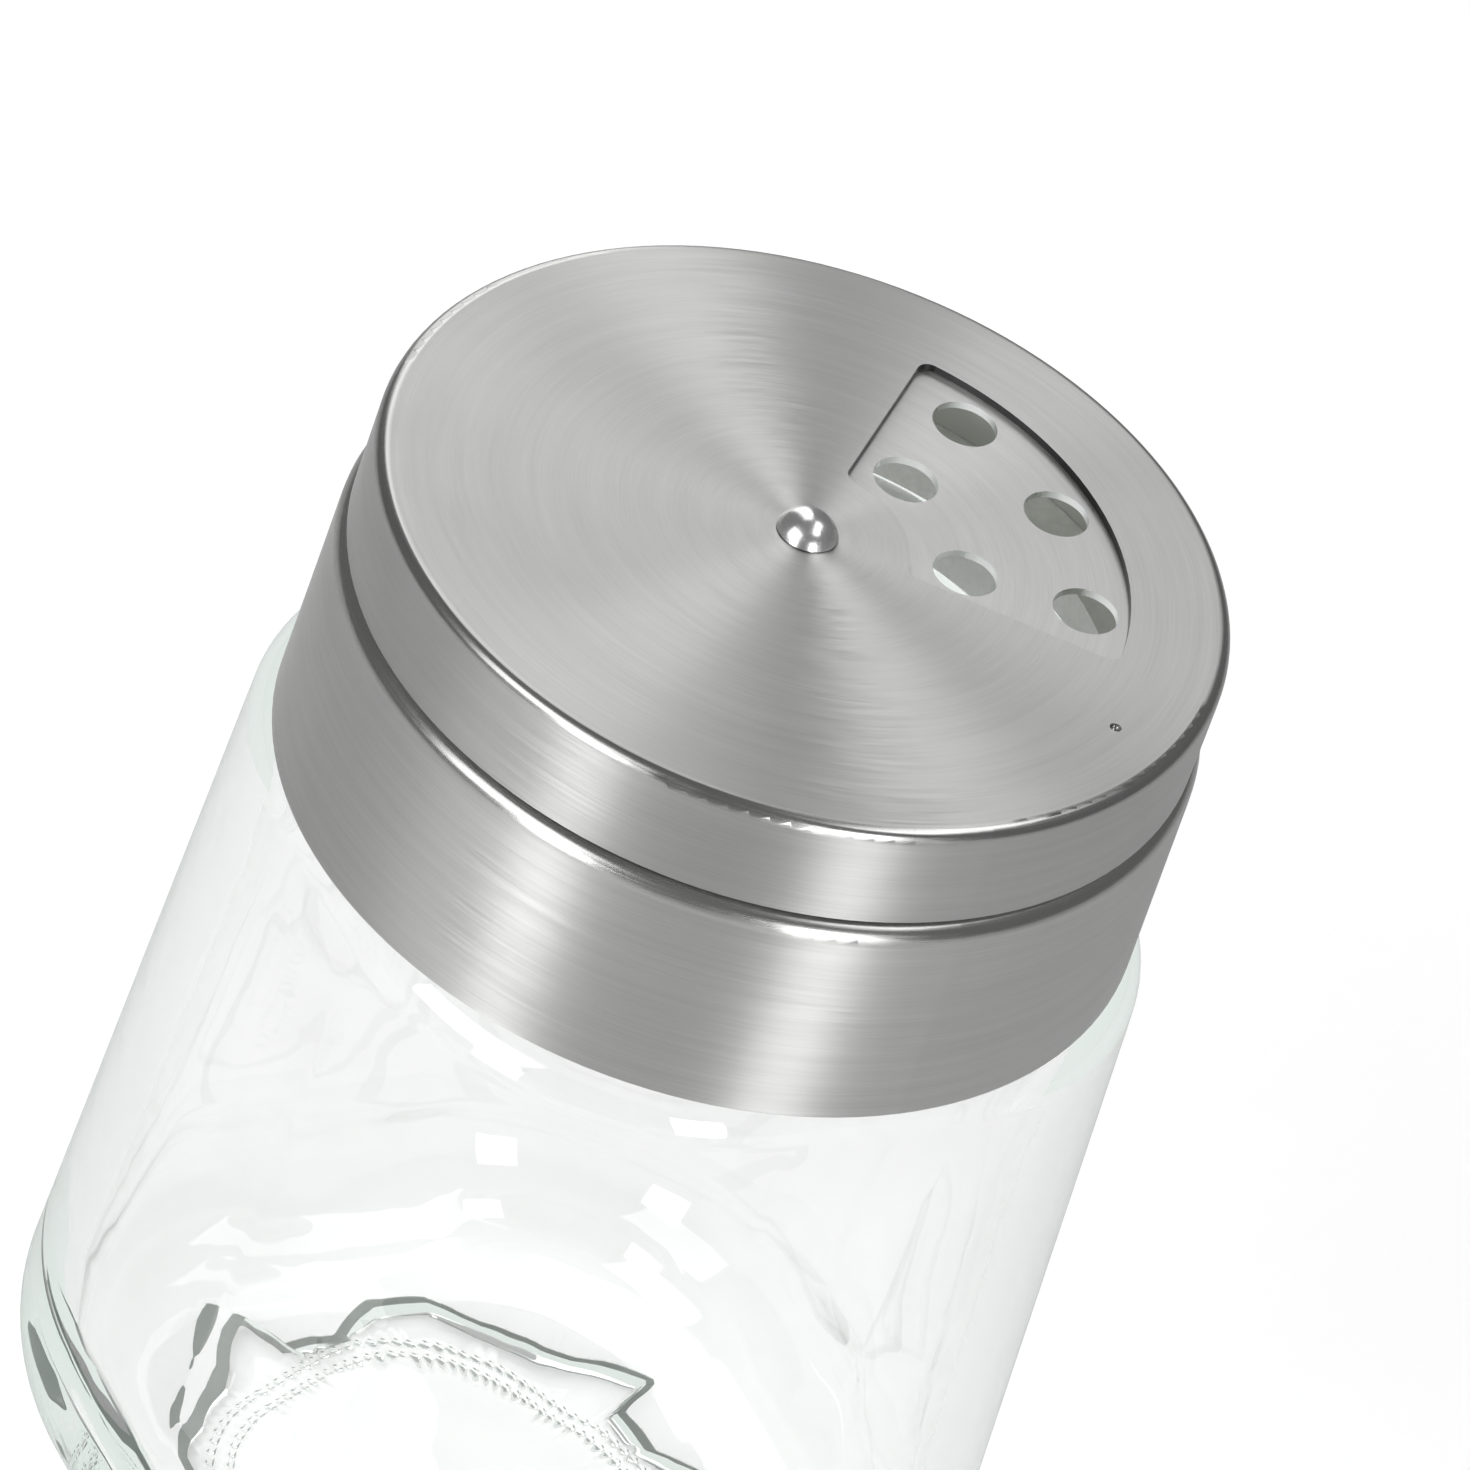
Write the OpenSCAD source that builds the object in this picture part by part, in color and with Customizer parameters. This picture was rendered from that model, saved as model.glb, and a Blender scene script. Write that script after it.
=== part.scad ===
// Spice jar: a squarish glass jar with a steel screw cap and a turning dial.
// The jar stands on z = 0 with its flat sides square to X and Y.

/* [Jar] */
// Height of the jar from its foot to the top of its shoulder
body_h = 51.1; // [45:0.5:70]
// How much wider than the neck the body is across its flat sides, under the shoulder
body_over_neck = 3.4; // [3.4:0.1:8]
// How much wider the body is just above the heel than under the shoulder
body_flare = 2.9; // [0:0.1:6]
// Radius of the upright corners as a share of half the width
corner_share = 0.78; // [0.7:0.01:0.9]
// Radius of the shoulder's outer edge
shoulder_r = 2.6; // [2:0.1:2.6]
// Radius of the heel, where the sides turn under
heel_r = 8.8; // [7:0.1:10]
// Thickness of the side walls
glass_t = 2.4; // [1.5:0.1:2.4]
// Thickness of the floor over the pads of the foot
floor_t = 5.4; // [4:0.1:7]
// Radius inside, where the floor meets the sides
floor_r = 6.6; // [3:0.1:7]
// Height of the neck above the shoulder
neck_h = 9.75; // [9.5:0.05:11]
// Diameter of the mouth
mouth_d = 35.6; // [32:0.1:42]
// Thickness of the neck's wall at the root of its thread
neck_wall_t = 2.2; // [1.8:0.1:3]
// Rounding of the rim
rim_r = 0.8; // [0.3:0.1:1]

/* [Foot] */
// Width of the four pads that the jar stands on, under its corners
foot_pad_w = 2.9; // [2:0.1:5]
// Radius of the recess's corners as a share of half its width
punt_corner_share = 0.45; // [0.3:0.01:0.7]
// Height of the sloped step at the edge of the recess
punt_step_h = 0.8; // [0.4:0.1:1.2]
// How far that step runs inwards
punt_step_w = 0.8; // [0.4:0.1:1.5]
// How far the middle of the recess lies above its step
punt_rise = 0.9; // [0.4:0.1:1.4]
// Radius of the flat middle of the recess
punt_middle_r = 4; // [2:0.5:7]

/* [Cap] */
// Thickness of the steel sheet
sheet_t = 0.4; // [0.3:0.05:0.6]
// How much wider the cap's skirt is at its open edge than under its shoulder
skirt_flare = 0.3; // [0:0.05:0.8]
// Height of the gap between the skirt's edge and the jar's shoulder
skirt_gap = 0.04; // [0.04:0.01:0.3]
// Height of the gap between the dial's edge and the cap's shoulder
shoulder_gap = 0.25; // [0.2:0.05:0.6]

/* [Dial] */
// How much smaller in diameter the dial is than the top of the cap's skirt
dial_step = 0.8; // [0.6:0.1:1.2]
// Height of the dial's side
dial_h = 5.8; // [5:0.1:6.2]
// Radius of the dial's top edge
dial_edge_r = 0.7; // [0.7:0.1:1.6]
// Gap between the dial's side and the drum under it
dial_side_gap = 0.3; // [0.2:0.05:0.4]
// Gap between the dial's top sheet and the plate under it
dial_top_gap = 0.12; // [0.08:0.01:0.2]
// Inner radius of the dial's window
window_in_r = 5.3; // [4.5:0.1:6]
// Distance from the window's outer edge to the dial's side
window_margin = 5.3; // [4.6:0.1:7]
// Angle that the window spans
window_angle = 86; // [70:1:88]
// Radius of the window's corners
window_corner_r = 0.7; // [0.4:0.1:1.2]
// Diameter of the index mark pressed into the dial
index_d = 0.6; // [0.4:0.1:1]
// Distance of the index mark from the dial's side
index_margin = 3.4; // [2.4:0.1:4.4]
// Angle from the window's middle to the index mark
index_angle = -58; // [-80:1:-50]

/* [Sprinkling plate] */
// Diameter of a sprinkling hole
hole_d = 3.4; // [2:0.1:3.6]
// Distance of the three outer holes' centres from the window's outer edge
outer_holes_inset = 2.2; // [1.9:0.1:3]
// Angle between neighbouring outer holes
outer_holes_step = 29; // [20:1:32]
// Distance of the two inner holes' centres from the window's inner edge
inner_holes_inset = 3; // [2.5:0.1:3.6]
// Angle between the two inner holes
inner_holes_step = 50; // [30:1:56]
// Angle from the sprinkling holes to the pouring opening
pour_angle = 120; // [90:1:240]
// How much smaller all round the pouring opening is than the window
pour_margin = 0.6; // [0.4:0.1:1.2]

/* [Pivot rivet] */
// Diameter of the rivet's shank
shank_d = 2; // [1.6:0.1:2.4]
// Diameter of the rivet's domed head
head_d = 3.2; // [2.6:0.1:4]
// Height of the rivet's domed head
head_h = 1.1; // [0.5:0.1:1.2]
// Diameter of the rivet's upset end
tail_d = 3.2; // [2.8:0.1:4]
// Height of the rivet's upset end
tail_h = 0.5; // [0.4:0.1:0.8]
// Diameter of the spring washer and of the flat washer
washer_d = 6.4; // [5:0.1:8]
// Thickness of the flat washer
washer_t = 0.3; // [0.2:0.05:0.5]
// Height of the spring washer as it is held, squeezed part flat
spring_h = 0.4; // [0.3:0.05:0.6]
// Thickness of the spring washer's strip
spring_t = 0.2; // [0.1:0.05:0.25]

/* [Screw insert and seal] */
// Depth of the screw thread, which the insert's bore clears
thread_depth = 1.3; // [1:0.1:1.6]
// Thickness of the insert's wall behind its thread
insert_wall_t = 0.66; // [0.5:0.02:1.2]
// Thickness of the insert's inward flange
flange_t = 1; // [0.8:0.1:1.4]
// How far the insert stops short of the skirt's edge
insert_lift = 2; // [0.4:0.1:3]
// Thickness of the sealing ring
seal_t = 1.2; // [0.8:0.1:1.4]

/* [Hidden] */
$fn = 72;
// Facets of a small circle inside a hull
hull_fn = 32;
// Clearance of one fixed piece inside another
fit_gap = 0.04;
// Clearance of the sealing ring over the rim, before it is screwed down
seat_gap = 0.05;
// Running clearance round the rivet's shank
pivot_gap = 0.05;
// Gap between the rivet's head and the dial, which lets the dial turn
head_gap = 0.08;
// How far a cutting solid runs past the face that it cuts
cut_over = 1;
// Direction of the sprinkling holes and, at rest, of the window
holes_angle = 90;

// Jar: places that follow from its sizes
rim_z = body_h + neck_h;
mouth_r = mouth_d / 2;
neck_r = mouth_r + neck_wall_t;
top_half_w = neck_r + body_over_neck / 2;
bottom_half_w = top_half_w + body_flare / 2;
// Reach of the ground face towards the corners, and the recess inside its pads
heel_reach = bottom_half_w * ((1 - corner_share) * sqrt(2) + corner_share) - heel_r;
punt_half_w = heel_reach - foot_pad_w;
punt_corner_r = punt_half_w * punt_corner_share;
// The inside shoulder starts this far under the outside one
inner_top_z = body_h - glass_t;
inner_shoulder_r = shoulder_r - glass_t / 2;
// Where the inside shoulder has narrowed to the mouth
throat_z = body_h - glass_t / 2;
throat_h = glass_t / 4;

// Closure: places that follow from the seat on the rim
seal_z = rim_z + seat_gap;
flange_z = seal_z + seal_t;
insert_top_z = flange_z + flange_t;
insert_bore_r = neck_r + thread_depth;
insert_r = insert_bore_r + insert_wall_t;
skirt_top_r = insert_r + fit_gap + sheet_t;
skirt_r = skirt_top_r + skirt_flare / 2;
dial_r = skirt_top_r - dial_step / 2;
drum_r = dial_r - sheet_t - dial_side_gap;
cap_shoulder_z = insert_top_z + fit_gap + sheet_t;
dial_rim_z = cap_shoulder_z + shoulder_gap;
dial_top_z = dial_rim_z + dial_h;
skirt_z = body_h + skirt_gap;
plate_top_z = dial_top_z - sheet_t - dial_top_gap;
plate_under_z = plate_top_z - sheet_t;
cap_shoulder_r = skirt_top_r - drum_r;
drum_edge_r = dial_edge_r;
insert_z = skirt_z + insert_lift;
// The insert's top edge follows the inside of the cap's shoulder
insert_edge_r = cap_shoulder_r - sheet_t;
seal_out_r = insert_bore_r - fit_gap;
seal_in_r = mouth_r + fit_gap;
flange_in_r = mouth_r - fit_gap;

// Dial and plate: places that follow from the dial's size
window_out_r = dial_r - window_margin;
index_r = dial_r - index_margin;
outer_holes_r = window_out_r - outer_holes_inset;
inner_holes_r = window_in_r + inner_holes_inset;

// Rivet: the stack of washers under the plate
shank_r = shank_d / 2;
pivot_hole_r = shank_r + pivot_gap;
spring_z = plate_under_z - spring_h;
washer_z = spring_z - washer_t;
tail_z = washer_z - tail_h;
head_z = dial_top_z + head_gap;

// Four upright rounded corners of the jar, as discs whose edge has the given radius
module corner_discs(half_w, edge_r) {
    corner_r = half_w * corner_share;
    place = half_w - corner_r;
    for (x = [-place, place])
        for (y = [-place, place])
            translate([x, y, 0])
                rotate_extrude()
                    translate([corner_r - edge_r, 0])
                        intersection() {
                            circle(edge_r, $fn = hull_fn);
                            translate([0, -edge_r])
                                square([edge_r, 2 * edge_r]);
                        }
}

// Outside of the jar under its neck
module jar_outside() {
    hull() {
        translate([0, 0, body_h - shoulder_r])
            corner_discs(top_half_w, shoulder_r);
        translate([0, 0, heel_r])
            corner_discs(bottom_half_w, heel_r);
    }
}

// Space inside the jar, up to the throat where the neck begins
module jar_inside() {
    hull() {
        translate([0, 0, inner_top_z - inner_shoulder_r])
            corner_discs(top_half_w - glass_t, inner_shoulder_r);
        translate([0, 0, floor_t + floor_r])
            corner_discs(bottom_half_w - glass_t, floor_r);
        translate([0, 0, throat_z])
            cylinder(h = throat_h, r = mouth_r);
    }
}

// Plain neck with a rounded rim, standing on the shoulder
module neck() {
    rotate_extrude() {
        translate([mouth_r, inner_top_z])
            square([neck_wall_t, rim_z - rim_r - inner_top_z]);
        translate([mouth_r + rim_r, rim_z - 2 * rim_r])
            square([neck_wall_t - 2 * rim_r, 2 * rim_r]);
        for (x = [mouth_r + rim_r, neck_r - rim_r])
            translate([x, rim_z - rim_r])
                circle(rim_r);
    }
}

// Recess under the jar, turned an eighth of a turn against the body: a sloped step, then a gentle rise
module punt() {
    place = punt_half_w - punt_corner_r;
    rotate(45)
        hull() {
            for (x = [-place, place])
                for (y = [-place, place])
                    translate([x, y, -cut_over]) {
                        cylinder(h = cut_over, r = punt_corner_r, $fn = hull_fn);
                        cylinder(h = cut_over + punt_step_h, r = punt_corner_r - punt_step_w,
                                 $fn = hull_fn);
                    }
            cylinder(h = punt_step_h + punt_rise, r = punt_middle_r, $fn = hull_fn);
        }
}

module jar() {
    color("honeydew", 0.4)
        difference() {
            union() {
                jar_outside();
                neck();
            }
            jar_inside();
            translate([0, 0, throat_z])
                cylinder(h = rim_z - throat_z + cut_over, r = mouth_r);
            punt();
        }
}

// Plastic liner fixed in the cap: a sleeve for the thread with an inward flange on top
module screw_insert() {
    edge_z = insert_top_z - insert_edge_r;
    color("ghostwhite")
        rotate_extrude() {
            translate([insert_bore_r, insert_z])
                square([insert_r - insert_bore_r, edge_z - insert_z]);
            translate([flange_in_r, flange_z])
                square([insert_r - flange_in_r, edge_z - flange_z]);
            translate([flange_in_r, flange_z])
                square([insert_r - insert_edge_r - flange_in_r, flange_t]);
            translate([insert_r - insert_edge_r, edge_z])
                intersection() {
                    circle(insert_edge_r);
                    square(insert_edge_r);
                }
        }
}

// Soft ring that closes the rim of the jar against the insert's flange
module rim_seal() {
    color("whitesmoke")
        rotate_extrude()
            translate([seal_in_r, seal_z])
                square([seal_out_r - seal_in_r, seal_t - fit_gap]);
}

// Quarter of a round edge of sheet, outside radius r, in the upper right of its centre
module sheet_edge(r) {
    intersection() {
        difference() {
            circle(r);
            circle(r - sheet_t);
        }
        square(r);
    }
}

// Sector of a ring with straight radial sides, before its corners are rounded
module ring_sector(in_r, out_r, half_angle, side_inset) {
    reach = out_r / cos(half_angle);
    apex = side_inset / sin(half_angle);
    intersection() {
        difference() {
            circle(out_r);
            circle(in_r);
        }
        translate([apex, 0])
            polygon([[0, 0], reach * [cos(half_angle), sin(half_angle)],
                     [reach, 0], reach * [cos(half_angle), -sin(half_angle)]]);
    }
}

// Sector of a ring whose four corners are rounded to corner_r
module rounded_sector(in_r, out_r, half_angle, corner_r) {
    ring_sector(in_r + corner_r, out_r - corner_r, half_angle, 0);
    ring_sector(in_r, out_r, half_angle, corner_r);
    for (side = [-1, 1])
        for (place_r = [in_r + corner_r, out_r - corner_r])
            rotate(side * (half_angle - asin(corner_r / place_r)))
                translate([place_r, 0])
                    circle(corner_r);
}

// The three outer and two inner sprinkling holes
module sprinkling_holes() {
    for (i = [-1:1])
        rotate(holes_angle + i * outer_holes_step)
            translate([outer_holes_r, 0])
                circle(d = hole_d);
    for (side = [-1, 1])
        rotate(holes_angle + side * inner_holes_step / 2)
            translate([inner_holes_r, 0])
                circle(d = hole_d);
}

// Steel cap: skirt, rounded shoulder, drum and perforated plate in one sheet
module cap_shell() {
    color("silver")
        difference() {
            rotate_extrude() {
                polygon([[skirt_r - sheet_t, skirt_z], [skirt_r, skirt_z],
                         [skirt_top_r, cap_shoulder_z - cap_shoulder_r],
                         [skirt_top_r - sheet_t, cap_shoulder_z - cap_shoulder_r]]);
                translate([drum_r, cap_shoulder_z - cap_shoulder_r])
                    sheet_edge(cap_shoulder_r);
                translate([drum_r - sheet_t, cap_shoulder_z - sheet_t])
                    square([sheet_t, plate_top_z - drum_edge_r - cap_shoulder_z + sheet_t]);
                translate([drum_r - drum_edge_r, plate_top_z - drum_edge_r])
                    sheet_edge(drum_edge_r);
                translate([0, plate_under_z])
                    square([drum_r - drum_edge_r, sheet_t]);
            }
            translate([0, 0, plate_under_z - cut_over])
                linear_extrude(sheet_t + 2 * cut_over) {
                    circle(pivot_hole_r);
                    sprinkling_holes();
                    rotate(holes_angle + pour_angle)
                        rounded_sector(window_in_r + pour_margin, window_out_r - pour_margin,
                                       window_angle / 2 - asin(pour_margin / window_in_r),
                                       window_corner_r);
                }
        }
}

// Steel dial: a shallow cap with a window, turning on the rivet over the drum
module dial() {
    color("lightgray")
        difference() {
            rotate_extrude() {
                translate([dial_r - sheet_t, dial_rim_z])
                    square([sheet_t, dial_h - dial_edge_r]);
                translate([dial_r - dial_edge_r, dial_top_z - dial_edge_r])
                    sheet_edge(dial_edge_r);
                translate([0, dial_top_z - sheet_t])
                    square([dial_r - dial_edge_r, sheet_t]);
            }
            translate([0, 0, dial_top_z - sheet_t - cut_over])
                linear_extrude(sheet_t + 2 * cut_over) {
                    circle(pivot_hole_r);
                    rotate(holes_angle)
                        rounded_sector(window_in_r, window_out_r, window_angle / 2,
                                       window_corner_r);
                }
            rotate(holes_angle + index_angle)
                translate([index_r, 0, dial_top_z])
                    sphere(d = index_d, $fn = hull_fn);
        }
}

// Rivet: domed head, shank and upset end
module pivot_rivet() {
    dome_r = (head_d * head_d / 4 + head_h * head_h) / (2 * head_h);
    color("white")
        rotate_extrude() {
            intersection() {
                translate([0, head_z + head_h - dome_r])
                    circle(dome_r);
                translate([0, head_z])
                    square([head_d / 2, head_h]);
            }
            translate([0, tail_z])
                square([shank_r, head_z - tail_z + head_h / 2]);
            translate([0, tail_z])
                square([tail_d / 2, tail_h]);
        }
}

// Coned spring washer, wide edge against the plate
module spring_washer() {
    bore_r = shank_r + pivot_gap;
    color("gray")
        rotate_extrude()
            polygon([[bore_r, spring_z], [bore_r, spring_z + spring_t],
                     [washer_d / 2, plate_under_z], [washer_d / 2, plate_under_z - spring_t]]);
}

// Flat washer between the spring washer and the rivet's upset end
module flat_washer() {
    color("darkgray")
        translate([0, 0, washer_z])
            difference() {
                cylinder(h = washer_t, d = washer_d);
                translate([0, 0, -cut_over])
                    cylinder(h = washer_t + 2 * cut_over, r = shank_r + pivot_gap);
            }
}

jar();
screw_insert();
rim_seal();
cap_shell();
dial();
pivot_rivet();
spring_washer();
flat_washer();
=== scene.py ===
"""Looks of the glass spice jar with its steel screw cap and turning dial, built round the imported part."""

import math

import bmesh
import bpy
from mathutils import Matrix, Vector


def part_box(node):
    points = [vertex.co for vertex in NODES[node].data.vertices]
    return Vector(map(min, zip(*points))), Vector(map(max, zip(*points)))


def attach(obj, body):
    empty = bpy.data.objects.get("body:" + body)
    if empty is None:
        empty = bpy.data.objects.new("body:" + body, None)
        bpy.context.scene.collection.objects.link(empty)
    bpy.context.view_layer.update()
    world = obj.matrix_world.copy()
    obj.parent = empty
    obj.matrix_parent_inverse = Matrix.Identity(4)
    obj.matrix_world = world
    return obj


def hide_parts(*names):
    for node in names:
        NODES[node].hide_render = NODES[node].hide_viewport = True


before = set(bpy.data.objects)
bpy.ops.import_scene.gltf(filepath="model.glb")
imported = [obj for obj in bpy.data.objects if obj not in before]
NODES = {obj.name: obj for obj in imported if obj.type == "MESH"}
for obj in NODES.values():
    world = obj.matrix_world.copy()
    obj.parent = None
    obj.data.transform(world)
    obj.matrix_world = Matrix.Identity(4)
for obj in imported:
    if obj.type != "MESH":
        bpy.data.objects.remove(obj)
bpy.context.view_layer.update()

# Units
MM = 0.001
TURN = 2 * math.pi

# Jar, in millimetres, as in the part's own sizes
CORNER_SHARE = 0.78
BODY_H = 51.1
BODY_FLARE = 2.9
SHOULDER_R = 2.6
HEEL_R = 8.8
GLASS_T = 2.4
FLOOR_T = 5.4
FLOOR_R = 6.6
MOUTH_R = 17.8
NECK_R = 20.0
NECK_FILLET = 0.6
RIM_R = 0.8

# Recess under the jar's floor
PUNT_STEP_H = 0.8
PUNT_STEP_W = 0.9
PUNT_RISE = 0.9
FOOT_EDGE_R = 0.35

# Edge of the recess: nearly round, with an ear and a dent where it runs out through each flat side's
# heel; degrees from the side's middle and millimetres outwards
RECESS_R = 14.15
RECESS_EDGE = ((-45, 0), (-30, 0.3), (-18, 1.45), (-5, 0.8), (1, -0.3), (7, -1.4), (20.5, -0.9),
               (23.5, 2.4), (28, 1.9), (38, 0.4), (45, 0))

# Two rows of moulded beads round the recess, slightly out of true as on a pressed jar
BEADS = 96
BEAD_H = 0.12
BEAD_R = 0.22
RING_HALF = 10.65
RING_CORNER_SHARE = 0.78
RING_TURN = math.radians(33)
RING_SHIFT = (0.7, -1.2)
RING_ROWS = (-0.55, 0.55)

# Screw threads, right-handed
THREAD_PITCH = 4.23
THREAD_TURNS = 1.25
THREAD_W = 2.3
THREAD_TAPER = math.radians(25)
CREST_POWER = 1.6
JAR_THREAD_H = 0.78
JAR_THREAD_TOP = 59.2
INSERT_THREAD_H = 0.42
INSERT_THREAD_SINK = 0.05
INSERT_THREAD_END_SHARE = 0.02
INSERT_BORE_R = 21.3

# How finely the jar and the threads are divided
JAR_DIRECTIONS = 480
RECESS_STEPS = 10
HEEL_STEPS = 22
SIDE_STEPS = 10
SHOULDER_ARC_STEPS = 24
SHOULDER_STEPS = 22
FILLET_STEPS = 5
NECK_STEPS = 56
RIM_STEPS = 6
MOUTH_STEPS = 5
INNER_EDGE_STEPS = 8
FLOOR_EDGE_STEPS = 18
FLOOR_STEPS = 8
BEAD_SHARES = (-1, -0.6, -0.2, 0.2, 0.6, 1)
SLOPE_SHARES = (0.12, 0.3, 0.5, 0.7, 0.88, 1.0)
FOOT_EDGE_SHARES = (0.5, 1.0)
LEDGE_SHARES = (0.33, 0.66)
INSERT_THREAD_STEPS = 200
INSERT_THREAD_POINTS = 9

# Points of a mesh closer than this, in metres, become one
MERGE_DISTANCE = 1e-7

# Brushed steel: scratches in lines per metre across and features per radian along, tints as shares of
# the sheet's tone, and how far the normal leans for rounded edges
FINE_SCRATCHES = (9000.0, 3.0)
WIDE_SCRATCHES = (1800.0, 1.2)
FINE_SHARE = 0.65
NEAR_AXIS = 1e-6
BLOTCH_SCALE = 160.0
DULL_SCRATCH = (0.90, 0.895, 0.885)
BRIGHT_SCRATCH = (1.06, 1.06, 1.055)
# Painted shade: rounded edges darker than the sheet
EDGE_PAINTED_SHADE = (0.6, 0.6, 0.59)
EDGE_FROM_UPRIGHT = (0.05, 0.5)
EDGE_TO_LEVEL = (0.94, 0.995)
EDGE_SMOOTHING = 0.14
BRUSHED_ROUGHNESS = 0.381
SCRATCH_ROUGHNESS = 0.05
BLOTCH_ROUGHNESS = 0.02
BRUSHED_ANISOTROPY = 0.92
BRUSHED_TURN = 0.25
BARE_SHEET = (0.72, 0.72, 0.7, 1)
BARE_ROUGHNESS = 0.65
INWARD_LEAN = -0.002
UNDER_LEAN = -0.5
OPENINGS_REACH = 18
WALL_LEAN = 0.5
WALL_SMOOTHING = 0.3
SCRATCH_BUMP = (0.25, 0.004)

# Polished and plain steel, plastic and foam: grain, tints, uneven gloss, and bump as strength and
# millimetres
WEAR_SCALE = 900.0
WORN_TINT = (0.94, 0.94, 0.935)
CLEAN_TINT = (1, 1, 0.995)
WORN_ROUGHNESS_SHARE = 1.6
GRAIN_SCALE = 2500.0
GRAIN_DARK_SHARE = 0.85
GRAIN_LIGHT_SHARE = 1.15
GRAIN_ROUGHNESS = 0.06
GRAIN_BUMP = (0.3, 0.02)

# Most of a noise texture's values lie between these
NOISE_LOW = 0.3
NOISE_HIGH = 0.7

# Glass: colours, streaks and ripples, painted shade and painted glow, and the heights and reach, in
# millimetres, of its painted dark lines
GLASS_IOR = 1.51
GLASS_TINT = (0.72, 0.9, 0.8, 1)
GLASS_DENSITY = 5.0
STREAK_SCALE = 60.0
STREAK_LOW = 0.35
STREAK_HIGH = 0.6
STREAK_TINT = (0.97, 0.972, 0.97, 1)
RIPPLE_SCALE = 140.0
RIPPLE_BUMP = (0.15, 0.2)
SHADOW_TINT = (0.98, 0.98, 0.98, 1)
# Painted shade: dark lines drawn on the recess edge and bead flanks
DARK_LINE_PAINT = (0.12, 0.14, 0.125, 1)
DARK_LINE_SHARE = 0.9
STEEP_FROM = 0.8
STEEP_TO = 0.87
EDGE_LINE_TOP = 1.0
BEAD_LINE_TOP = 2.2
BEAD_LINE_REACH = 13.0
# Painted light: tint of the glow inside the glass walls
CAUGHT_PAINTED_GLOW = (0.82, 0.87, 0.845, 1)
CAUGHT_AFTER = 1.5
CAUGHT_ABOVE = 2

# Index dimple on the dial, painted dark as its shade
MARK_R = 0.33
MARK_SOFT_SHARE = 0.85
MARK_RADIUS = 18.6
MARK_ANGLE = math.radians(32)
MARK_PAINTED_SHADE = (0.27, 0.27, 0.265, 1)
NO_MARK = (100, 0)

# Camera, as the photograph was taken
CAMERA_AIM = Vector((0.06, 0.07, 55.98)) * MM
CAMERA_DISTANCE = 777.6 * MM
CAMERA_AZIMUTH = math.radians(-38.4)
CAMERA_ELEVATION = math.radians(38.53)
CAMERA_ROLL = math.radians(20.06)
CAMERA_LENS = 381.18
SENSOR_W = 36
CLIP_END = 20

# Floor, backdrop and lamps
WHITE = (1, 1, 1, 1)
FLOOR_HALF = 4.0
FLOOR_GREY = (0.6, 0.6, 0.6, 1)
FLOOR_GLOW = 0.48
FLOOR_GLOW_THROUGH_GLASS = 0.38
AMBIENT = 0.23
BENT_UP = (0.1, 0.4)
BENT_LIGHT = (0.9, 0.45)
LAMP_DISTANCE = 1.0
LAMP_AIM = Vector((0, 0, 0.05))
# Name, degrees from the camera's direction, degrees of elevation, width, height, brightness
LAMPS = (("left_strip", -29.5, 11.3, 0.257, 0.5, 6.6),
         ("right_strip", 36.9, 13.3, 0.275, 0.573, 7.3),
         ("left_top", -46, 35, 0.695, 0.584, 3.23),
         ("right_top", 98.9, 63.6, 0.822, 0.3, 3.42),
         ("back", 199.5, 33.8, 0.466, 1.38, 1.7))


def new_material(name):
    """Empty node material with its output node."""
    material = bpy.data.materials.new(name)
    material.use_nodes = True
    tree = material.node_tree
    tree.nodes.clear()
    output = tree.nodes.new("ShaderNodeOutputMaterial")
    return material, tree, output


def surface_material(name):
    """Node material with one Principled shader as its surface."""
    material, tree, output = new_material(name)
    shader = tree.nodes.new("ShaderNodeBsdfPrincipled")
    tree.links.new(shader.outputs[0], output.inputs["Surface"])
    return material, tree, shader


def math_node(tree, operation, first, second=None):
    """Math node whose inputs are sockets or numbers."""
    node = tree.nodes.new("ShaderNodeMath")
    node.operation = operation
    for index, value in enumerate((first, second)):
        if value is None:
            continue
        if isinstance(value, (int, float)):
            node.inputs[index].default_value = value
        else:
            tree.links.new(value, node.inputs[index])
    return node.outputs[0]


def product(tree, first, second):
    """First times second."""
    return math_node(tree, "MULTIPLY", first, second)


def total(tree, first, second):
    """First plus second."""
    return math_node(tree, "ADD", first, second)


def vector_node(tree, operation, vector):
    """Vector Math node with its first input linked."""
    node = tree.nodes.new("ShaderNodeVectorMath")
    node.operation = operation
    tree.links.new(vector, node.inputs[0])
    return node


def axes(tree, vector):
    """X, Y and Z of a vector."""
    split = tree.nodes.new("ShaderNodeSeparateXYZ")
    tree.links.new(vector, split.inputs[0])
    return split.outputs


def from_axis(tree, x, y):
    """Distance from the axis."""
    return math_node(tree, "SQRT", total(tree, product(tree, x, x), product(tree, y, y)))


def map_range(tree, value, low, high, to_low, to_high):
    """Map Range node that clamps."""
    node = tree.nodes.new("ShaderNodeMapRange")
    tree.links.new(value, node.inputs["Value"])
    node.inputs["From Min"].default_value = low
    node.inputs["From Max"].default_value = high
    node.inputs["To Min"].default_value = to_low
    node.inputs["To Max"].default_value = to_high
    return node.outputs["Result"]


def noise(tree, vector, scale, detail, roughness=0.5):
    """Noise texture's plain value."""
    node = tree.nodes.new("ShaderNodeTexNoise")
    node.inputs["Scale"].default_value = scale
    node.inputs["Detail"].default_value = detail
    node.inputs["Roughness"].default_value = roughness
    tree.links.new(vector, node.inputs["Vector"])
    return node.outputs["Fac"]


def noise_range(tree, value, to_low, to_high):
    """A noise's usual range, spread over another."""
    return map_range(tree, value, NOISE_LOW, NOISE_HIGH, to_low, to_high)


def tinted(tone, tint):
    """Grey tone with a tint, as a colour."""
    return tuple(tone * channel for channel in tint) + (1,)


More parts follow.
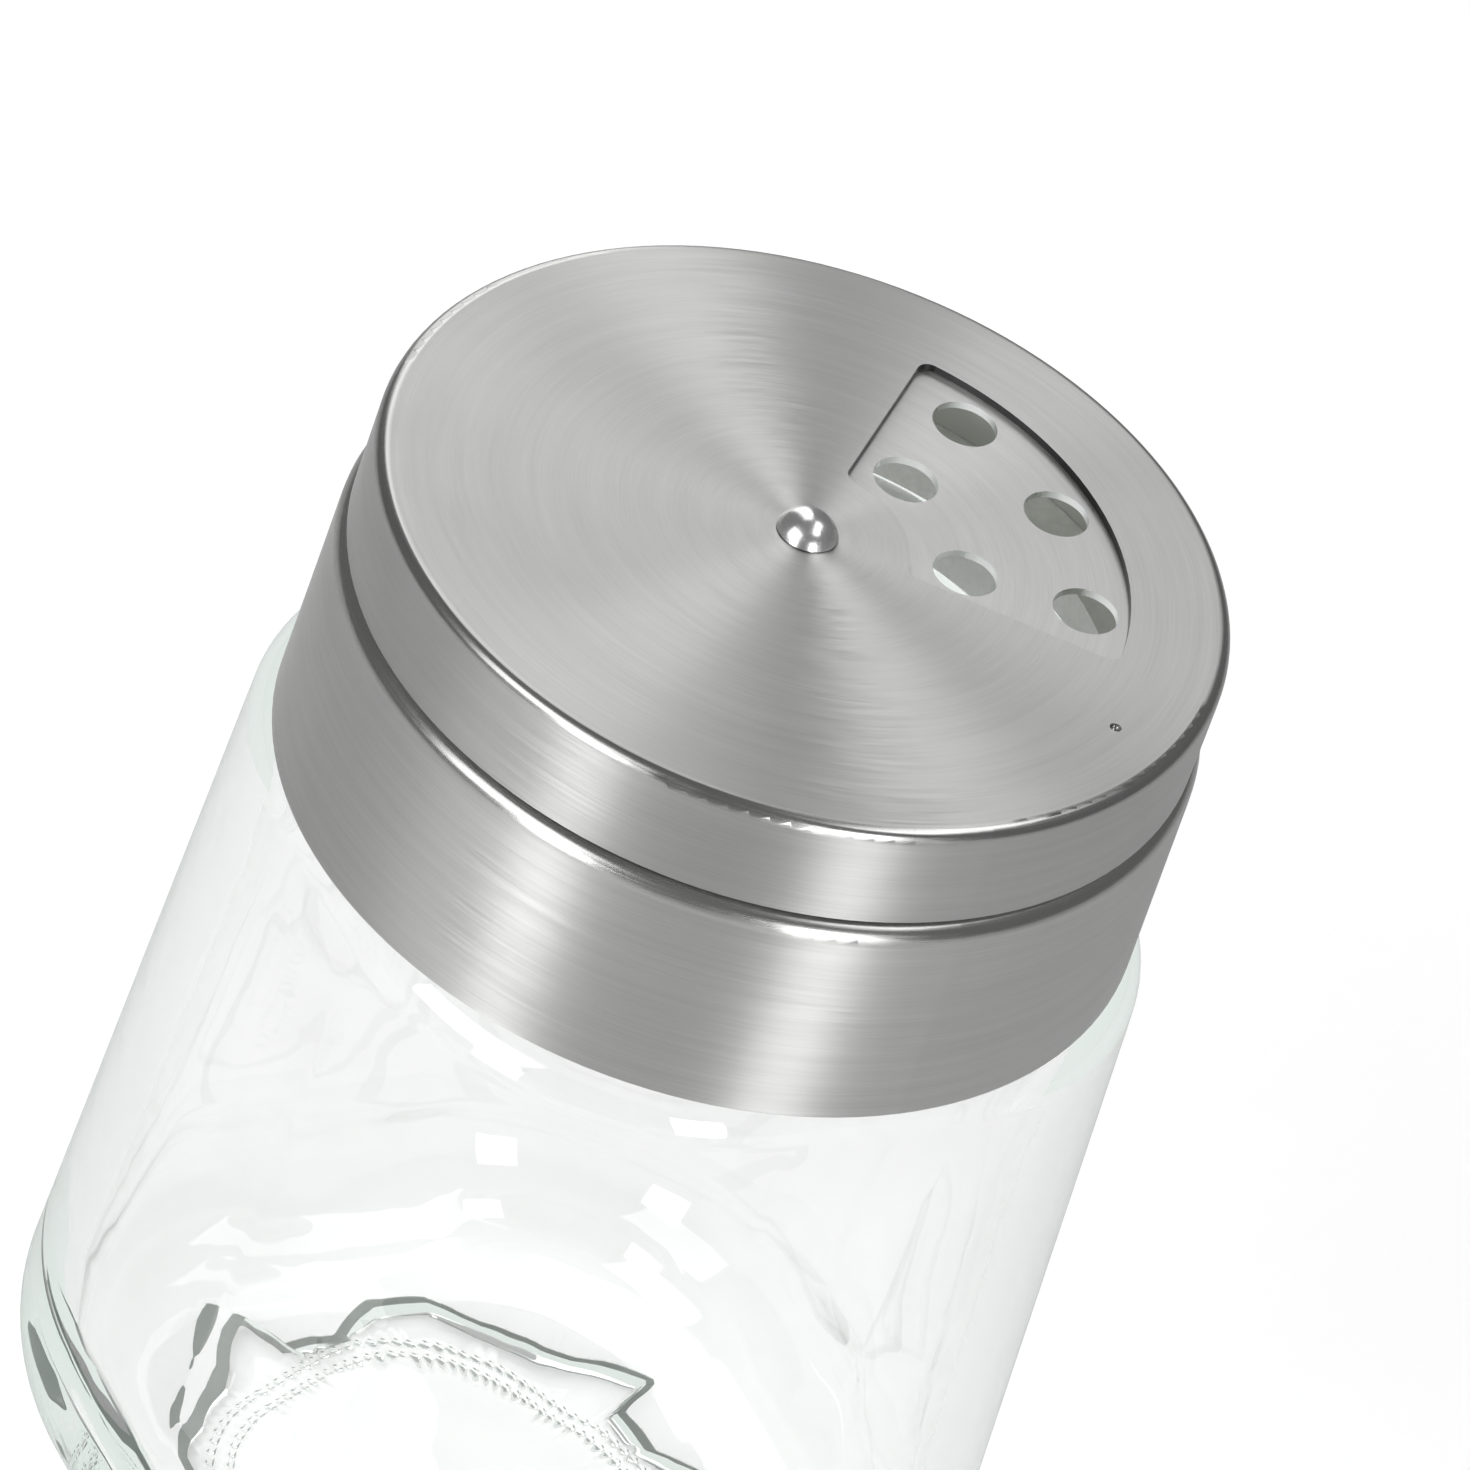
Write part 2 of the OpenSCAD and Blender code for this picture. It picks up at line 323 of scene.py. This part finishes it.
def two_tone(tree, value, low_colour, high_colour, low_position=0.0, high_position=1.0):
    """Colour ramp between two colours."""
    ramp = tree.nodes.new("ShaderNodeValToRGB")
    low, high = ramp.color_ramp.elements
    low.position = low_position
    high.position = high_position
    low.color = low_colour
    high.color = high_colour
    tree.links.new(value, ramp.inputs[0])
    return ramp.outputs[0]


def mix_colour(tree, factor, base, colour):
    """Base, covered by a plain colour as far as factor says."""
    mix = tree.nodes.new("ShaderNodeMix")
    mix.data_type = "RGBA"
    mix.inputs["B"].default_value = colour
    tree.links.new(factor, mix.inputs["Factor"])
    tree.links.new(base, mix.inputs["A"])
    return mix.outputs["Result"]


def mix_shader(tree, factor, first, second):
    """First shader at factor 0, second at 1."""
    mix = tree.nodes.new("ShaderNodeMixShader")
    tree.links.new(factor, mix.inputs["Fac"])
    tree.links.new(first, mix.inputs[1])
    tree.links.new(second, mix.inputs[2])
    return mix.outputs[0]


def add_bump(tree, shader, height, strength_and_depth):
    """Bump on a shader, with its depth in millimetres."""
    strength, depth = strength_and_depth
    bump = tree.nodes.new("ShaderNodeBump")
    bump.inputs["Strength"].default_value = strength
    bump.inputs["Distance"].default_value = depth * MM
    tree.links.new(height, bump.inputs["Height"])
    tree.links.new(bump.outputs[0], shader.inputs["Normal"])


def brushed_vector(tree, place, across, along):
    """Coordinates that run slowly round the axis and fast across the brushing.

    across is in lines per metre along the sheet's profile, along in features per radian.
    """
    x, y, z = axes(tree, place)
    radius = from_axis(tree, x, y)
    safe = math_node(tree, "MAXIMUM", radius, NEAR_AXIS)
    profile = math_node(tree, "SUBTRACT", radius, z)
    join = tree.nodes.new("ShaderNodeCombineXYZ")
    tree.links.new(product(tree, profile, across), join.inputs["X"])
    tree.links.new(product(tree, math_node(tree, "DIVIDE", x, safe), along), join.inputs["Y"])
    tree.links.new(product(tree, math_node(tree, "DIVIDE", y, safe), along), join.inputs["Z"])
    return join.outputs[0]


def brushed_steel(name, tone, wall_tone, mark=NO_MARK):
    """Stainless sheet brushed round the axis: fine rings of scratches and soft blotches, and painted shade on
    its rounded edges.

    wall_tone is the grey painted on the walls of its openings: painted shade where dark, a painted
    highlight where light. mark is the place of a small dimple painted dark as its shade, seen from above.
    """
    material, tree, shader = surface_material(name)
    links = tree.links
    shader.inputs["Metallic"].default_value = 1.0
    shader.inputs["Anisotropic Rotation"].default_value = BRUSHED_TURN
    place = tree.nodes.new("ShaderNodeTexCoord").outputs["Object"]
    fine_place = brushed_vector(tree, place, *FINE_SCRATCHES)
    wide_place = brushed_vector(tree, place, *WIDE_SCRATCHES)
    fine_lines = noise(tree, fine_place, scale=1.0, detail=3.0, roughness=0.6)
    wide_lines = noise(tree, wide_place, scale=1.0, detail=2.0)
    blotches = noise(tree, place, BLOTCH_SCALE, detail=2.0)
    lines = total(tree, product(tree, fine_lines, FINE_SHARE), product(tree, wide_lines, 1 - FINE_SHARE))
    # Colour: bright and dull scratches over a nearly even grey
    scratched = two_tone(tree, lines, tinted(tone, DULL_SCRATCH), tinted(tone, BRIGHT_SCRATCH),
                         NOISE_LOW, NOISE_HIGH)
    # Rounded edges, neither level nor upright: the brush misses them, so they stay smooth; their colour is
    # darkened, a painted shade for the dark reflection they show
    normal = tree.nodes.new("ShaderNodeNewGeometry").outputs["Normal"]
    up = axes(tree, normal)["Z"]
    level = math_node(tree, "ABSOLUTE", up)
    edge = product(tree, map_range(tree, level, *EDGE_FROM_UPRIGHT, 0, 1),
                   map_range(tree, level, *EDGE_TO_LEVEL, 1, 0))
    edge_shaded = mix_colour(tree, edge, scratched, tinted(tone, EDGE_PAINTED_SHADE))
    # Inside faces: plain unbrushed sheet
    flat = vector_node(tree, "MULTIPLY", place)
    flat.inputs[1].default_value = (1, 1, 0)
    turned = vector_node(tree, "DOT_PRODUCT", normal)
    links.new(flat.outputs[0], turned.inputs[1])
    inward = math_node(tree, "LESS_THAN", turned.outputs["Value"], INWARD_LEAN)
    under = math_node(tree, "LESS_THAN", up, UNDER_LEAN)
    inside = math_node(tree, "MAXIMUM", inward, under)
    bare = mix_colour(tree, inside, edge_shaded, BARE_SHEET)
    # Walls of the openings, their grey painted: dark as painted shade in the dial's window, light as a
    # painted highlight on the cap's holes
    reach = vector_node(tree, "LENGTH", flat.outputs[0])
    wall = product(tree, math_node(tree, "LESS_THAN", level, WALL_LEAN),
                   math_node(tree, "LESS_THAN", reach.outputs["Value"], OPENINGS_REACH * MM))
    walls_painted = mix_colour(tree, wall, bare, (wall_tone, wall_tone, wall_tone, 1))
    # Painted shade: the small index dimple is darkened
    gap = vector_node(tree, "DISTANCE", flat.outputs[0])
    gap.inputs[1].default_value = (mark[0] * MM, mark[1] * MM, 0)
    dimple_shade = map_range(tree, gap.outputs["Value"], MARK_R * MARK_SOFT_SHARE * MM, MARK_R * MM, 1, 0)
    links.new(mix_colour(tree, dimple_shade, walls_painted, MARK_PAINTED_SHADE), shader.inputs["Base Color"])
    # Roughness: scratches and soft blotches
    rough = total(tree, noise_range(tree, fine_lines, BRUSHED_ROUGHNESS - SCRATCH_ROUGHNESS,
                                    BRUSHED_ROUGHNESS + SCRATCH_ROUGHNESS),
                  noise_range(tree, blotches, -BLOTCH_ROUGHNESS, BLOTCH_ROUGHNESS))
    smooth = math_node(tree, "SUBTRACT", rough, product(tree, edge, EDGE_SMOOTHING))
    matt = math_node(tree, "MAXIMUM", smooth, product(tree, inside, BARE_ROUGHNESS))
    links.new(math_node(tree, "SUBTRACT", matt, product(tree, wall, WALL_SMOOTHING)),
              shader.inputs["Roughness"])
    brushed = math_node(tree, "SUBTRACT", 1.0, math_node(tree, "MAXIMUM", inside, edge))
    links.new(product(tree, brushed, BRUSHED_ANISOTROPY), shader.inputs["Anisotropic"])
    tangent = tree.nodes.new("ShaderNodeTangent")
    tangent.direction_type = "RADIAL"
    tangent.axis = "Z"
    links.new(tangent.outputs[0], shader.inputs["Tangent"])
    add_bump(tree, shader, lines, SCRATCH_BUMP)
    return material


def polished_steel(name, tone, roughness):
    """Polished or plain steel with faint uneven wear."""
    material, tree, shader = surface_material(name)
    shader.inputs["Metallic"].default_value = 1.0
    place = tree.nodes.new("ShaderNodeTexCoord").outputs["Object"]
    wear = noise(tree, place, WEAR_SCALE, detail=3.0)
    tree.links.new(two_tone(tree, wear, tinted(tone, WORN_TINT), tinted(tone, CLEAN_TINT)),
                   shader.inputs["Base Color"])
    tree.links.new(noise_range(tree, wear, roughness, roughness * WORN_ROUGHNESS_SHARE),
                   shader.inputs["Roughness"])
    add_bump(tree, shader, wear, GRAIN_BUMP)
    return material


def moulded_plastic(name, colour, roughness):
    """Moulded plastic or foam with a fine uneven surface."""
    material, tree, shader = surface_material(name)
    place = tree.nodes.new("ShaderNodeTexCoord").outputs["Object"]
    grain = noise(tree, place, GRAIN_SCALE, detail=3.0)
    tree.links.new(two_tone(tree, grain, tinted(GRAIN_DARK_SHARE, colour), tinted(GRAIN_LIGHT_SHARE, colour)),
                   shader.inputs["Base Color"])
    tree.links.new(noise_range(tree, grain, roughness - GRAIN_ROUGHNESS, roughness + GRAIN_ROUGHNESS),
                   shader.inputs["Roughness"])
    add_bump(tree, shader, grain, GRAIN_BUMP)
    return material


def clear_glass(name):
    """Clear soda-lime glass, a little green through its thickness, with faint streaks and ripples, painted
    dark lines round its foot and a painted glow in its walls.
    """
    material, tree, output = new_material(name)
    links = tree.links
    shader = tree.nodes.new("ShaderNodeBsdfPrincipled")
    shader.inputs["Transmission Weight"].default_value = 1.0
    shader.inputs["Roughness"].default_value = 0.0
    shader.inputs["IOR"].default_value = GLASS_IOR
    place = tree.nodes.new("ShaderNodeTexCoord").outputs["Object"]
    streaks = noise(tree, place, STREAK_SCALE, detail=4.0, roughness=0.6)
    links.new(two_tone(tree, streaks, STREAK_TINT, WHITE, STREAK_LOW, STREAK_HIGH),
              shader.inputs["Base Color"])
    add_bump(tree, shader, noise(tree, place, RIPPLE_SCALE, detail=2.0), RIPPLE_BUMP)
    # Lamplight passes through to what stands behind
    clear = tree.nodes.new("ShaderNodeBsdfTransparent")
    clear.inputs["Color"].default_value = SHADOW_TINT
    path = tree.nodes.new("ShaderNodeLightPath")
    lit = mix_shader(tree, path.outputs["Is Shadow Ray"], shader.outputs[0], clear.outputs[0])
    # Edge of the recess and flanks of its beads: steep faces painted with a dark diffuse shade, drawn on as
    # dark lines
    normal = tree.nodes.new("ShaderNodeNewGeometry").outputs["True Normal"]
    level = math_node(tree, "ABSOLUTE", axes(tree, normal)["Z"])
    x, y, z = axes(tree, place)
    on_edge = math_node(tree, "LESS_THAN", z, EDGE_LINE_TOP * MM)
    on_beads = product(tree, math_node(tree, "LESS_THAN", z, BEAD_LINE_TOP * MM),
                       math_node(tree, "LESS_THAN", from_axis(tree, x, y), BEAD_LINE_REACH * MM))
    steep = product(tree, map_range(tree, level, STEEP_FROM, STEEP_TO, DARK_LINE_SHARE, 0),
                    math_node(tree, "MAXIMUM", on_edge, on_beads))
    painted_dark = tree.nodes.new("ShaderNodeBsdfDiffuse")
    painted_dark.inputs["Color"].default_value = DARK_LINE_PAINT
    with_dark_lines = mix_shader(tree, steep, lit, painted_dark.outputs[0])
    # Painted light: after more than one glossy bounce and above the foot, the glass glows in a light tint
    # that stands in for light caught between the faces of a wall
    caught = product(tree, math_node(tree, "GREATER_THAN", path.outputs["Glossy Depth"], CAUGHT_AFTER),
                     math_node(tree, "GREATER_THAN", z, CAUGHT_ABOVE * MM))
    painted_glow = tree.nodes.new("ShaderNodeEmission")
    painted_glow.inputs["Color"].default_value = CAUGHT_PAINTED_GLOW
    links.new(mix_shader(tree, caught, with_dark_lines, painted_glow.outputs[0]), output.inputs["Surface"])
    volume = tree.nodes.new("ShaderNodeVolumeAbsorption")
    volume.inputs["Color"].default_value = GLASS_TINT
    volume.inputs["Density"].default_value = GLASS_DENSITY
    links.new(volume.outputs[0], output.inputs["Volume"])
    return material


def square_radius(angle, half_w, corner_r):
    """Distance from the axis to a square with rounded corners, in the given direction."""
    octant = abs((angle + TURN / 8) % (TURN / 4) - TURN / 8)
    centre = half_w - corner_r
    if math.tan(octant) * half_w <= centre:
        return half_w / math.cos(octant)
    along = centre * (math.cos(octant) + math.sin(octant))
    return along + math.sqrt(along * along + corner_r * corner_r - 2 * centre * centre)


def edge_arc(radius, start, end, steps):
    """Inset and rise of points on a rounded edge, between two angles above the horizontal."""
    for step in range(steps + 1):
        turn = math.radians(start + (end - start) * step / steps)
        yield radius * (1 - math.cos(turn)), radius * math.sin(turn)


def square_edge(angle, half_w, edge_r, start, end, steps):
    """Radius and rise of points on the rounded edge of the jar's square, in the given direction."""
    corner_r = half_w * CORNER_SHARE
    for inset, rise in edge_arc(edge_r, start, end, steps):
        yield square_radius(angle, half_w - inset, corner_r - inset), rise


def ridge(offset):
    """Height from 0 to 1 of a thread's rounded ridge, at a distance from its middle."""
    share = abs(offset) / (THREAD_W / 2)
    if share >= 1:
        return 0.0
    return 0.5 + 0.5 * math.cos(math.pi * share ** CREST_POWER)


def thread_height(angle, z, top_z):
    """Height from 0 to 1 of the screw thread at a place on the cylinder."""
    length = THREAD_TURNS * TURN
    height = 0.0
    for lap in range(int(THREAD_TURNS) + 2):
        run = (-angle) % TURN + lap * TURN
        if run > length:
            continue
        middle = top_z - THREAD_W / 2 - THREAD_PITCH * run / TURN
        ends = min(1.0, run / THREAD_TAPER, (length - run) / THREAD_TAPER)
        height = max(height, ridge(z - middle) * math.sin(ends * math.pi / 2))
    return height


def resample(points, count):
    """The given polyline as count + 1 evenly spaced points."""
    lengths = [math.dist(a, b) for a, b in zip(points, points[1:])]
    whole = sum(lengths)
    result = []
    index = 0
    walked = 0.0
    for step in range(count + 1):
        target = whole * step / count
        while index < len(lengths) - 1 and walked + lengths[index] < target:
            walked += lengths[index]
            index += 1
        part = (target - walked) / lengths[index] if lengths[index] else 0.0
        a, b = points[index], points[index + 1]
        result.append((a[0] + (b[0] - a[0]) * part, a[1] + (b[1] - a[1]) * part))
    return result


def shoulder_path(angle, half_w):
    """Outside of the shoulder from the top of the sides to the root of the neck."""
    join_r = NECK_R + NECK_FILLET
    points = []
    for radius, rise in square_edge(angle, half_w, SHOULDER_R, 0, 90, SHOULDER_ARC_STEPS):
        if radius <= join_r and points:
            break
        points.append((radius, BODY_H - SHOULDER_R + rise))
    top_z = points[-1][1]
    points.append((join_r, top_z))
    for inset, rise in edge_arc(NECK_FILLET, 90, 0, FILLET_STEPS):
        points.append((NECK_R + inset, top_z + NECK_FILLET - rise))
    return resample(points, SHOULDER_STEPS)


def recess_edge(angle):
    """Distance from the axis to the edge of the recess."""
    from_side = math.degrees((angle + TURN / 8) % (TURN / 4) - TURN / 8)
    edge_r = RECESS_R
    for (start, start_out), (end, end_out) in zip(RECESS_EDGE, RECESS_EDGE[1:]):
        if start <= from_side <= end:
            edge_r = RECESS_R + start_out + (end_out - start_out) * (from_side - start) / (end - start)
    return edge_r


def underside(angle, half_w):
    """Radius and height of the jar's underside, from the middle of the recess to the top of the heel."""
    heel = [(radius, HEEL_R - rise)
            for radius, rise in square_edge(angle, half_w, HEEL_R, 90, 0, HEEL_STEPS)]
    edge_r = recess_edge(angle)
    step_r = edge_r - PUNT_STEP_W
    ring_r = (square_radius(angle - RING_TURN, RING_HALF, RING_HALF * RING_CORNER_SHARE)
              + RING_SHIFT[0] * math.cos(angle) + RING_SHIFT[1] * math.sin(angle))
    swell = BEAD_H * (0.5 + 0.5 * math.cos(BEADS * angle))

    def recess_z(radius):
        """A sloped edge, a gentle rise to the middle, and two rows of beads."""
        slope = PUNT_STEP_H * max(0.0, (edge_r - radius) / PUNT_STEP_W)
        z = min(slope, PUNT_STEP_H + PUNT_RISE * max(0.0, 1 - (radius / RECESS_R) ** 2))
        for row in RING_ROWS:
            z -= swell * max(0.0, 1 - ((radius - ring_r - row) / BEAD_R) ** 2)
        return z

    def heel_z(radius):
        """Height of the heel, or 0 within it."""
        for (r0, z0), (r1, z1) in zip(heel, heel[1:]):
            if r0 < radius <= r1:
                return z0 + (z1 - z0) * (radius - r0) / (r1 - r0)
        return 0.0

    radii = [step_r * step / RECESS_STEPS for step in range(RECESS_STEPS + 1)]
    radii += [ring_r + row + BEAD_R * share for row in RING_ROWS for share in BEAD_SHARES]
    radii += [step_r + (edge_r - step_r) * share for share in SLOPE_SHARES]
    radii += [edge_r + FOOT_EDGE_R * share for share in FOOT_EDGE_SHARES]
    points = [(radius, max(recess_z(radius), heel_z(radius))) for radius in radii]
    points += [(radius, max(z, recess_z(radius))) for radius, z in heel]
    return sorted(points)


def side_points(angle, start, end):
    """Points between the ends of a straight side; each end is a half width and a height."""
    for step in range(1, SIDE_STEPS):
        share = step / SIDE_STEPS
        half_w = start[0] + (end[0] - start[0]) * share
        z = start[1] + (end[1] - start[1]) * share
        yield square_radius(angle, half_w, half_w * CORNER_SHARE), z


def jar_outside(angle, bottom_half_w, neck_top):
    """Section from under the foot to the top of the neck."""
    top_half_w = bottom_half_w - BODY_FLARE / 2
    points = underside(angle, bottom_half_w)
    points += side_points(angle, (bottom_half_w, HEEL_R), (top_half_w, BODY_H - SHOULDER_R))
    points += shoulder_path(angle, top_half_w)
    neck_foot = points[-1][1]
    for step in range(1, NECK_STEPS):
        z = neck_foot + (neck_top - neck_foot) * step / NECK_STEPS
        points.append((NECK_R + JAR_THREAD_H * thread_height(angle, z, JAR_THREAD_TOP), z))
    return points


def jar_inside(angle, bottom_half_w, neck_top):
    """Section from the mouth through throat, shoulder and sides to the middle of the floor."""
    top_half_w = bottom_half_w - BODY_FLARE / 2 - GLASS_T
    floor_half_w = bottom_half_w - GLASS_T
    edge_r = SHOULDER_R - GLASS_T / 2
    throat_z = BODY_H - GLASS_T / 4
    ledge_z = BODY_H - GLASS_T
    ledge_r = square_radius(angle, top_half_w - edge_r, top_half_w * CORNER_SHARE - edge_r)
    points = [(MOUTH_R, neck_top + (throat_z - neck_top) * step / MOUTH_STEPS)
              for step in range(1, MOUTH_STEPS + 1)]
    points += [(MOUTH_R + (ledge_r - MOUTH_R) * share, throat_z + (ledge_z - throat_z) * share)
               for share in LEDGE_SHARES]
    points += [(radius, ledge_z - edge_r + rise)
               for radius, rise in square_edge(angle, top_half_w, edge_r, 90, 0, INNER_EDGE_STEPS)]
    points += side_points(angle, (top_half_w, ledge_z - edge_r), (floor_half_w, FLOOR_T + FLOOR_R))
    points += [(radius, FLOOR_T + FLOOR_R - rise)
               for radius, rise in square_edge(angle, floor_half_w, FLOOR_R, 0, 90, FLOOR_EDGE_STEPS)]
    floor_r = points[-1][0]
    points += [(floor_r * (1 - step / FLOOR_STEPS), FLOOR_T) for step in range(1, FLOOR_STEPS + 1)]
    return points


def jar_profile(angle, bottom_half_w, rim_z):
    """Radius and height of the jar's section in one direction, from under the foot to the floor inside."""
    neck_top = rim_z - RIM_R
    points = jar_outside(angle, bottom_half_w, neck_top)
    points += [(NECK_R - inset, neck_top + rise) for inset, rise in edge_arc(RIM_R, 0, 90, RIM_STEPS)]
    points += [(MOUTH_R + inset, neck_top + rise) for inset, rise in edge_arc(RIM_R, 90, 0, RIM_STEPS)]
    return points + jar_inside(angle, bottom_half_w, neck_top)


def mesh_object(name, vertices, faces, material):
    """Smooth mesh object from vertices in millimetres."""
    mesh = bpy.data.meshes.new(name)
    mesh.from_pydata([Vector(v) * MM for v in vertices], [], faces)
    build = bmesh.new()
    build.from_mesh(mesh)
    bmesh.ops.remove_doubles(build, verts=build.verts, dist=MERGE_DISTANCE)
    bmesh.ops.recalc_face_normals(build, faces=build.faces)
    for face in build.faces:
        face.smooth = True
    build.to_mesh(mesh)
    build.free()
    mesh.materials.append(material)
    obj = bpy.data.objects.new(name, mesh)
    bpy.context.scene.collection.objects.link(obj)
    return obj


def lathe(name, profile_at, directions, material):
    """Closed surface whose section may change with direction: profile_at(angle) gives radius and height."""
    vertices = []
    for i in range(directions):
        angle = TURN * i / directions
        profile = profile_at(angle)
        vertices += [(r * math.cos(angle), r * math.sin(angle), z) for r, z in profile]
    levels = len(vertices) // directions
    faces = []
    for i in range(directions):
        j = (i + 1) % directions
        for k in range(levels - 1):
            faces.append((i * levels + k, j * levels + k, j * levels + k + 1, i * levels + k + 1))
    return mesh_object(name, vertices, faces, material)


def make_jar():
    """Glass jar with its threaded neck, in place of the plain solid."""
    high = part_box("jar")[1]
    jar = lathe("jar_glass", lambda angle: jar_profile(angle, high.x / MM, high.z / MM), JAR_DIRECTIONS,
                clear_glass("jar_clear_glass"))
    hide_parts("jar")
    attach(jar, "jar")


def insert_thread_point(run, k, low_z):
    """Point k of the liner thread's section, where the thread has run through an angle."""
    top_z = JAR_THREAD_TOP - THREAD_PITCH / 2
    middle = top_z - THREAD_W / 2 - THREAD_PITCH * run / TURN
    left = THREAD_TURNS * TURN - run
    ends = max(INSERT_THREAD_END_SHARE, min(1.0, run / THREAD_TAPER, left / THREAD_TAPER))
    offset = THREAD_W / 2 * (2 * k / (INSERT_THREAD_POINTS - 1) - 1)
    radius = INSERT_BORE_R - INSERT_THREAD_H * ridge(offset) * math.sin(ends * math.pi / 2)
    if k in (0, INSERT_THREAD_POINTS - 1):
        radius = INSERT_BORE_R + INSERT_THREAD_SINK
    z = max(middle + offset, low_z + INSERT_THREAD_SINK)
    return radius * math.cos(-run), radius * math.sin(-run), z


def make_insert_thread(material):
    """Ridge of the screw thread inside the liner's sleeve."""
    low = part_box("screw_insert")[0]
    count = INSERT_THREAD_POINTS
    vertices = [insert_thread_point(THREAD_TURNS * TURN * step / INSERT_THREAD_STEPS, k, low.z / MM)
                for step in range(INSERT_THREAD_STEPS + 1) for k in range(count)]
    faces = []
    for step in range(INSERT_THREAD_STEPS):
        for k in range(count):
            m = (k + 1) % count
            faces.append((step * count + k, step * count + m,
                          (step + 1) * count + m, (step + 1) * count + k))
    faces.append(tuple(range(count)))
    faces.append(tuple(INSERT_THREAD_STEPS * count + k for k in range(count)))
    thread = mesh_object("insert_thread", vertices, faces, material)
    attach(thread, "lid")


def assign(node, material):
    """Give a carried-over solid its material."""
    obj = NODES[node]
    obj.data.materials.clear()
    obj.data.materials.append(material)


def dress_solids():
    """Materials of the solids that are shown as they are; gives back the liner's plastic."""
    mark = (MARK_RADIUS * math.cos(MARK_ANGLE), MARK_RADIUS * math.sin(MARK_ANGLE))
    # Painted highlight on the cap's hole walls; painted shade on the dial's window walls and its index dimple
    assign("cap_shell", brushed_steel("cap_brushed_steel", tone=0.64, wall_tone=0.85))
    assign("dial", brushed_steel("dial_brushed_steel", tone=0.59, wall_tone=0.06, mark=mark))
    insert_plastic = moulded_plastic("liner_plastic", colour=(0.72, 0.72, 0.7), roughness=0.4)
    assign("pivot_rivet", polished_steel("rivet_polished_steel", tone=0.72, roughness=0.2))
    assign("spring_washer", polished_steel("spring_steel", tone=0.5, roughness=0.3))
    assign("flat_washer", polished_steel("plain_steel", tone=0.55, roughness=0.3))
    assign("screw_insert", insert_plastic)
    assign("rim_seal", moulded_plastic("foam_seal", colour=(0.75, 0.75, 0.73), roughness=0.7))
    return insert_plastic


def direction(azimuth, elevation):
    """Unit vector that points away from the object."""
    return Vector((math.cos(elevation) * math.cos(azimuth), math.cos(elevation) * math.sin(azimuth),
                   math.sin(elevation)))


def make_camera():
    """Camera at the photograph's place, turned about its own line of sight as the photograph is."""
    data = bpy.data.cameras.new("photo_camera")
    data.lens = CAMERA_LENS
    data.sensor_width = SENSOR_W
    data.clip_end = CLIP_END
    camera = bpy.data.objects.new("photo_camera", data)
    bpy.context.scene.collection.objects.link(camera)
    offset = direction(CAMERA_AZIMUTH, CAMERA_ELEVATION) * CAMERA_DISTANCE
    look = (-offset).to_track_quat("-Z", "Y").to_matrix()
    camera.matrix_world = (Matrix.Translation(CAMERA_AIM + offset)
                           @ (look @ Matrix.Rotation(CAMERA_ROLL, 3, "Z")).to_4x4())
    bpy.context.scene.camera = camera


def make_lamp(name, azimuth, elevation, width, height, brightness):
    """Rectangular lamp that faces the object; azimuth is measured from the camera's direction."""
    data = bpy.data.lights.new(name, "AREA")
    data.shape = "RECTANGLE"
    data.size = width
    data.size_y = height
    data.energy = brightness * math.pi * width * height
    lamp = bpy.data.objects.new(name, data)
    bpy.context.scene.collection.objects.link(lamp)
    away = direction(CAMERA_AZIMUTH + math.radians(azimuth), math.radians(elevation))
    lamp.location = LAMP_AIM + LAMP_DISTANCE * away
    lamp.rotation_euler = (-away).to_track_quat("-Z", "Y").to_euler()


def make_floor():
    """Pale floor that shows nearly white and keeps the object's shadow."""
    material, tree, output = new_material("pale_floor")
    diffuse = tree.nodes.new("ShaderNodeBsdfDiffuse")
    diffuse.inputs["Color"].default_value = FLOOR_GREY
    glow = tree.nodes.new("ShaderNodeEmission")
    glow.inputs["Color"].default_value = WHITE
    path = tree.nodes.new("ShaderNodeLightPath")
    shown = total(tree, product(tree, path.outputs["Is Camera Ray"], FLOOR_GLOW),
                  product(tree, path.outputs["Is Transmission Ray"], FLOOR_GLOW_THROUGH_GLASS))
    tree.links.new(shown, glow.inputs["Strength"])
    both = tree.nodes.new("ShaderNodeAddShader")
    tree.links.new(diffuse.outputs[0], both.inputs[0])
    tree.links.new(glow.outputs[0], both.inputs[1])
    tree.links.new(both.outputs[0], output.inputs["Surface"])
    half = FLOOR_HALF
    mesh = bpy.data.meshes.new("floor")
    mesh.from_pydata([(-half, -half, 0), (half, -half, 0), (half, half, 0), (-half, half, 0)], [],
                     [(0, 1, 2, 3)])
    mesh.materials.append(material)
    floor = bpy.data.objects.new("floor", mesh)
    bpy.context.scene.collection.objects.link(floor)


def make_world():
    """White backdrop to the eye, plain soft grey light otherwise."""
    world = bpy.data.worlds.new("studio")
    bpy.context.scene.world = world
    world.use_nodes = True
    tree = world.node_tree
    tree.nodes.clear()
    output = tree.nodes.new("ShaderNodeOutputWorld")
    background = tree.nodes.new("ShaderNodeBackground")
    background.inputs["Color"].default_value = WHITE
    path = tree.nodes.new("ShaderNodeLightPath")
    plain = map_range(tree, path.outputs["Is Camera Ray"], 0, 1, AMBIENT, 1.0)
    # What a ray bent by the glass meets: nearly white at the horizon, greyer higher up
    coords = tree.nodes.new("ShaderNodeTexCoord")
    height = axes(tree, coords.outputs["Generated"])["Z"]
    bent = map_range(tree, height, *BENT_UP, *BENT_LIGHT)
    through = path.outputs["Is Transmission Ray"]
    otherwise = math_node(tree, "SUBTRACT", 1.0, through)
    strength = total(tree, product(tree, plain, otherwise), product(tree, bent, through))
    tree.links.new(strength, background.inputs["Strength"])
    tree.links.new(background.outputs[0], output.inputs["Surface"])


liner_plastic = dress_solids()
make_jar()
make_insert_thread(liner_plastic)

bpy.context.scene.view_settings.view_transform = "Standard"
make_camera()
make_floor()
make_world()
for lamp_values in LAMPS:
    make_lamp(*lamp_values)
